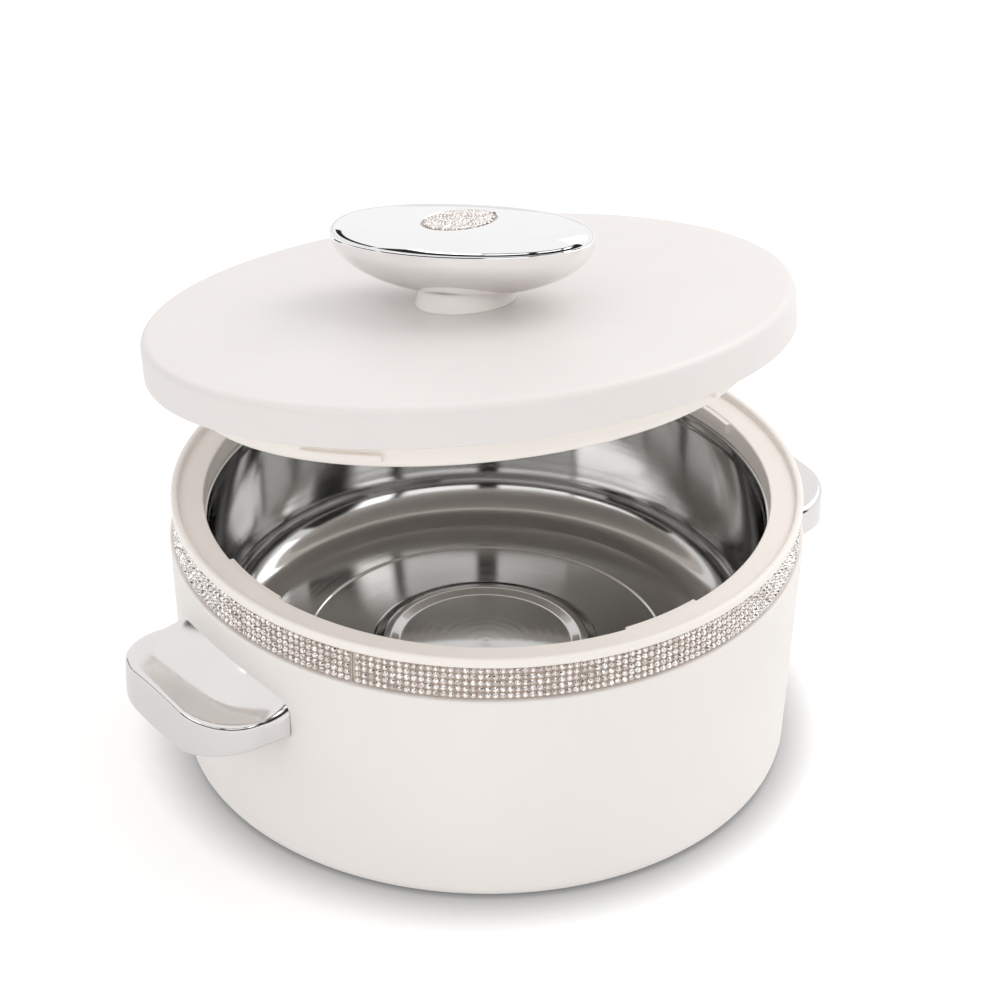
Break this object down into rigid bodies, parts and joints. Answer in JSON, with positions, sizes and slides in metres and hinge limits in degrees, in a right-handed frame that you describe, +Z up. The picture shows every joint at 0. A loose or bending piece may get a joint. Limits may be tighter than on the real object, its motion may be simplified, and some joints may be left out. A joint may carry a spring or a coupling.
{
  "type": "insulated chapati casserole",
  "caption": "Round insulated casserole: tapered cream pot, mirror steel bowl, stone band, shelf handles, and a twist-lock lid with a silver knob, held open above the pot.",
  "frame": {"origin": "centre of the base, on the table", "axes": "+Z up; +X and -X through the two handles; -Y is the front, where the held-open lid is raised most"},
  "size_m": [0.31, 0.2616, 0.2313],
  "materials": {
    "cream_plastic": "gloss",
    "base_plastic": "satin",
    "mirror_steel": "polished",
    "silver_plastic": "polished",
    "screw_steel": "satin",
    "foam": "matte",
    "strip": "satin",
    "stones": "polished"
  },
  "bodies": {
    "pot": {"outer_shell": "cream_plastic", "rim_collar": "cream_plastic", "inner_bowl": "mirror_steel", "pot_foam": "foam", "base_cover": "base_plastic", "fill_plug": "base_plastic", "band_strip": "strip", "band_stones": "stones", "handle_left": "silver_plastic", "handle_right": "silver_plastic", "handle_left_plate": "base_plastic", "handle_right_plate": "base_plastic", "handle_screws": "screw_steel"},
    "lid_core": {"lid_foam": "foam"},
    "lid": {"lid_cover": "cream_plastic", "lid_liner": "cream_plastic", "knob_stem": "cream_plastic", "knob_body": "silver_plastic", "knob_top": "silver_plastic", "knob_inset": "strip", "knob_stones": "stones", "knob_screw": "screw_steel", "knob_washer": "screw_steel"}
  },
  "joints": [
    {"name": "lid_lift", "type": "hinge", "parent": "pot", "child": "lid_core", "pos_m": [0, 0.271, 0.1041], "axis": [-0.9813, 0.1819, -0.0628], "range_deg": [-13.25, 10]},
    {"name": "lid_turn", "type": "hinge", "parent": "lid_core", "child": "lid", "pos_m": [-0.00219, 0.00915, 0.17458], "axis": [0.0433, 0.2246, 0.9735], "range_deg": [-28, 0]}
  ]
}
